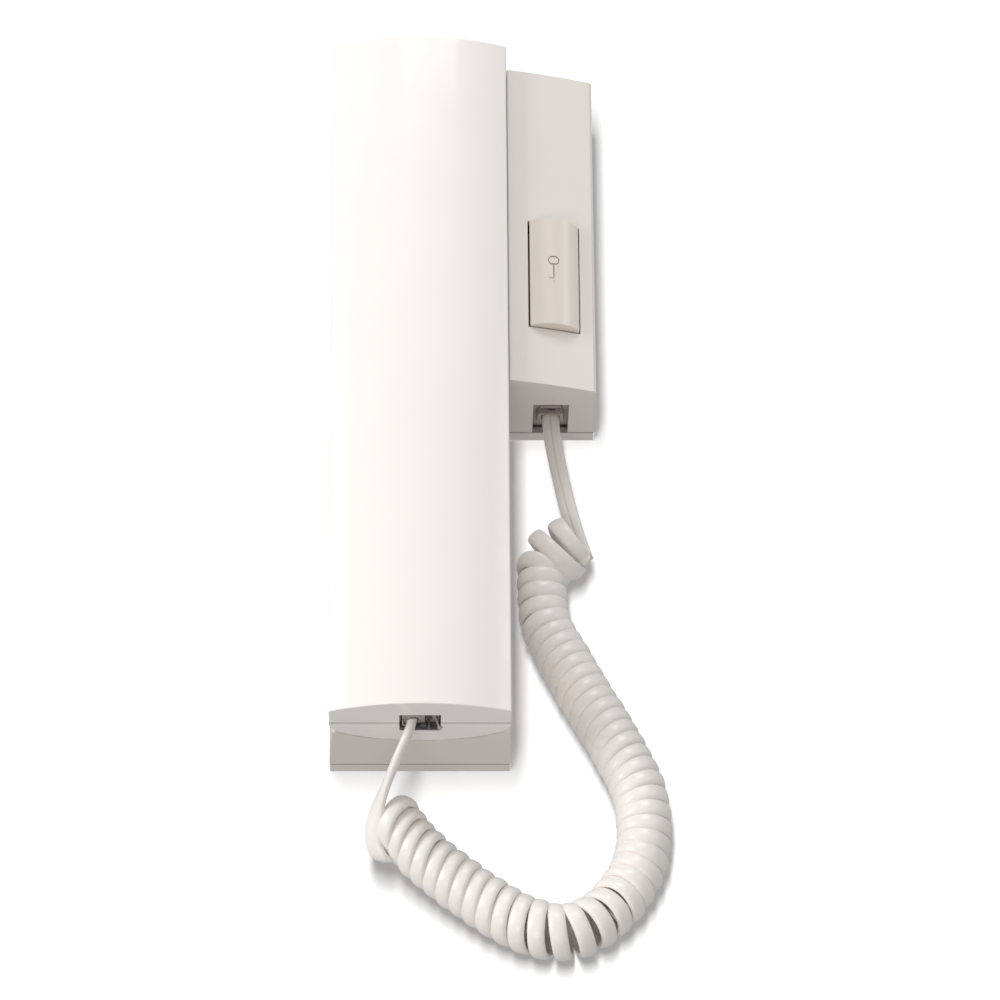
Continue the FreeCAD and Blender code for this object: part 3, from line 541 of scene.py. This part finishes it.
def make_socket_parts():
    # Handset: the socket's lip with its boss and rib, darkened as painted shade of the socket's inside, and
    # the plug's ridge, clamp bar and latch tip
    lip = blocks(
        "handset_jack_lip",
        [
            ((-5.75, -31.8, -109.93), (5.75, -31.06, -106.6)),
            ((0.1, -33.4, -109.4), (1.8, -31.7, -107.9)),
            ((2.2, -34.8, -109.85), (2.85, -31.7, -107.72)),
            ((-5.7, -32.6, -109.8), (-3.3, -31.7, -108.6)),
        ],
    )
    add_piece("handset_jack_lip", lip, "jack_dark", "handset")
    ridge_line = [
        (-5.0, -35.6, -108.6), (-5.05, -34.4, -108.9), (-4.95, -33.2, -109.0), (-4.45, -32.7, -109.05),
        (-3.95, -33.2, -109.0), (-3.85, -34.4, -108.9), (-3.9, -35.6, -108.6),
    ]
    ridge = strap("handset_plug_ridge", ridge_line, wide=0.5, thick=0.42)
    add_piece("handset_plug_ridge", ridge, "clear_light", "handset")
    clamp = blocks(
        "handset_cord_clamp",
        [
            ((-3.35, -40.0, -109.45), (-0.35, -39.1, -108.3)),
            ((-3.6, -39.3, -109.3), (-0.1, -38.9, -108.45)),
        ],
        bevel=0.18,
    )
    add_piece("handset_cord_clamp", clamp, "clear_light", "handset")
    # A dark line of painted shade round the cord under the clamp bar
    clamp_shade_route = [
        (-3.5, -38.6, -109.7), (-3.0, -39.55, -109.75), (-1.9, -39.95, -109.8), (-0.8, -39.55, -109.75),
        (-0.3, -38.6, -109.7),
    ]
    clamp_shade_line = strap("handset_clamp_shade_line", clamp_shade_route, wide=0.3, thick=0.26)
    add_piece("handset_clamp_shade_line", clamp_shade_line, "jack_dark", "handset")
    latch_line = [
        (4.2, -35.6, -107.2), (4.7, -35.0, -108.3), (5.2, -34.2, -109.6), (5.75, -33.3, -110.25),
        (6.25, -32.9, -109.9),
    ]
    latch = strap("handset_latch_tip", latch_line, wide=1.9, thick=0.5)
    add_piece("handset_latch_tip", latch, "clear_light", "handset")
    # Base: the plug's rear bar across the cord, with a dark lens on it that is painted shade for the plug's
    # latch slot
    bar = blocks(
        "base_plug_bar",
        [
            ((35.5, -17.2, -1.15), (43.4, -16.25, 3.3)),
            ((35.5, -16.6, -0.75), (36.7, -11.0, -0.1)),
            ((42.2, -16.6, -0.75), (43.4, -11.0, -0.1)),
        ],
        bevel=0.2,
    )
    add_piece("base_plug_bar", bar, "clear_plastic", "base")
    slot_shade = lens("base_plug_slot_shade", centre=(39.7, -17.2, 0.35), half=(1.3, 0.12, 0.34))
    add_piece("base_plug_slot_shade", slot_shade, "jack_dark", "base")


make_socket_parts()

# ---------------------------------------------------------------------------------------------------------
# Stage: a white wall behind the phone, a pale floor well below it, and soft lights

WALL_GAP = 0.0006
ROOM = 3.0  # how far the wall and the floor reach to each side
FLOOR_DROP = 1.1
WALL_GLOW = 0.12  # light of the wall's own, which brings it up to the photograph's plain white


def flat(name, corners):
    mesh = bpy.data.meshes.new(name)
    mesh.from_pydata(corners, [], [(0, 1, 2, 3)])
    item = bpy.data.objects.new(name, mesh)
    bpy.context.scene.collection.objects.link(item)
    return item


def make_wall():
    """Painted white and seen only from its front. It casts nothing, so light reaches the phone's back."""
    corners = ((-ROOM, -FLOOR_DROP), (ROOM, -FLOOR_DROP), (ROOM, ROOM), (-ROOM, ROOM))
    wall = flat("wall", [(x, WALL_GAP, z) for x, z in corners])
    shader = Shader("wall_paint")
    relief = shader.bump(shader.noise(size=0.004, detail=3), depth=0.00002)
    shader.finish((0.60, 0.60, 0.60, 1), 0.9, relief)
    shader.surface.inputs["Emission Color"].default_value = (1, 1, 1, 1)
    shader.surface.inputs["Emission Strength"].default_value = WALL_GLOW
    nodes = shader.tree.nodes
    side = nodes.new("ShaderNodeNewGeometry").outputs["Backfacing"]
    through = nodes.new("ShaderNodeBsdfTransparent").outputs["BSDF"]
    choose = nodes.new("ShaderNodeMixShader")
    for socket, value in zip(choose.inputs, (side, shader.surface.outputs["BSDF"], through)):
        shader.feed(socket, value)
    shader.feed(nodes["Material Output"].inputs["Surface"], choose.outputs["Shader"])
    wall.data.materials.append(shader.material)
    wall.visible_shadow = False
    wall.visible_diffuse = False
    wall.visible_glossy = False
    wall.visible_transmission = False


def make_floor():
    corners = [(-ROOM, -ROOM), (ROOM, -ROOM), (ROOM, ROOM), (-ROOM, ROOM)]
    floor = flat("floor", [(x, y, -FLOOR_DROP) for x, y in corners])
    shader = Shader("floor_paint")
    clouds = shader.ramp(shader.noise(size=0.3, detail=3), 0, 1)
    tone = shader.mix(clouds, (0.80, 0.79, 0.78, 1), (0.84, 0.83, 0.82, 1))
    shader.finish(tone, 0.7, shader.bump(shader.noise(size=0.004, detail=3), depth=0.00005))
    floor.data.materials.append(shader.material)
    floor.visible_diffuse = False


def area_light(name, place, size, power, colour, link_state, linked):
    """A soft light aimed at the phone, that lights only the linked objects or all but them."""
    data = bpy.data.lights.new(name, "AREA")
    data.shape = "RECTANGLE"
    data.size, data.size_y = size
    data.energy = power
    data.color = colour
    lamp = bpy.data.objects.new(name, data)
    lamp.location = place
    lamp.rotation_euler = (-Vector(place)).to_track_quat("-Z", "Y").to_euler()
    bpy.context.scene.collection.objects.link(lamp)
    lit = bpy.data.collections.new(name + "_lit")
    for item in linked:
        lit.objects.link(item)
    for item in lit.collection_objects:
        item.light_linking.link_state = link_state
    lamp.light_linking.receiver_collection = lit


WHITE = (1, 1, 1)
WORLD_COLOUR = (1, 0.985, 0.97, 1)
WORLD_STRENGTH = 0.45


def make_lights():
    """The wall has a light of its own, so that its shadows stay narrow, and so has the back plate.

    The column and the button have one more light on the right, and the button isn't lit from the left.
    """
    wall = bpy.data.objects["wall"]
    cover, button, back = (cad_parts[name] for name in ("base_cover", "door_button", "back_plate"))
    for name, place, size, power, colour, link_state, linked in (
        ("left_light", (-1.30, -0.95, -0.02), (0.6, 0.8), 11.0, (1, 0.99, 0.98), "EXCLUDE", [wall, button]),
        ("front_light", (0.08, -0.75, 0.75), (0.5, 0.4), 3.0, (1, 0.995, 0.985), "EXCLUDE", [wall]),
        ("low_light", (-0.3, -0.9, -1.1), (0.9, 0.5), 7.2, (1, 0.90, 0.81), "EXCLUDE", [wall]),
        ("right_light", (1.3, -0.7, 0.5), (0.4, 0.9), 2.8, WHITE, "INCLUDE", [cover, button]),
        ("right_strip", (1.056, -0.825, 0.49), (0.34, 0.24), 0.7, WHITE, "EXCLUDE", [wall]),
        ("left_strip", (-1.04, -0.84, 0.49), (0.36, 0.24), 0.9, WHITE, "EXCLUDE", [wall]),
        ("back_light", (0.5, 1.4, 0.6), (0.9, 0.9), 9, WHITE, "INCLUDE", [back]),
        ("wall_light", (-0.115, -1.55, -0.14), (0.16, 0.7), 30, WHITE, "INCLUDE", [wall]),
    ):
        area_light(name, place, size, power, colour, link_state, linked)
    world = bpy.data.worlds.new("studio")
    world.use_nodes = True
    backdrop = world.node_tree.nodes["Background"]
    backdrop.inputs["Color"].default_value = WORLD_COLOUR
    backdrop.inputs["Strength"].default_value = WORLD_STRENGTH
    bpy.context.scene.world = world
    bpy.context.scene.view_settings.view_transform = "Standard"


make_wall()
make_floor()
make_lights()
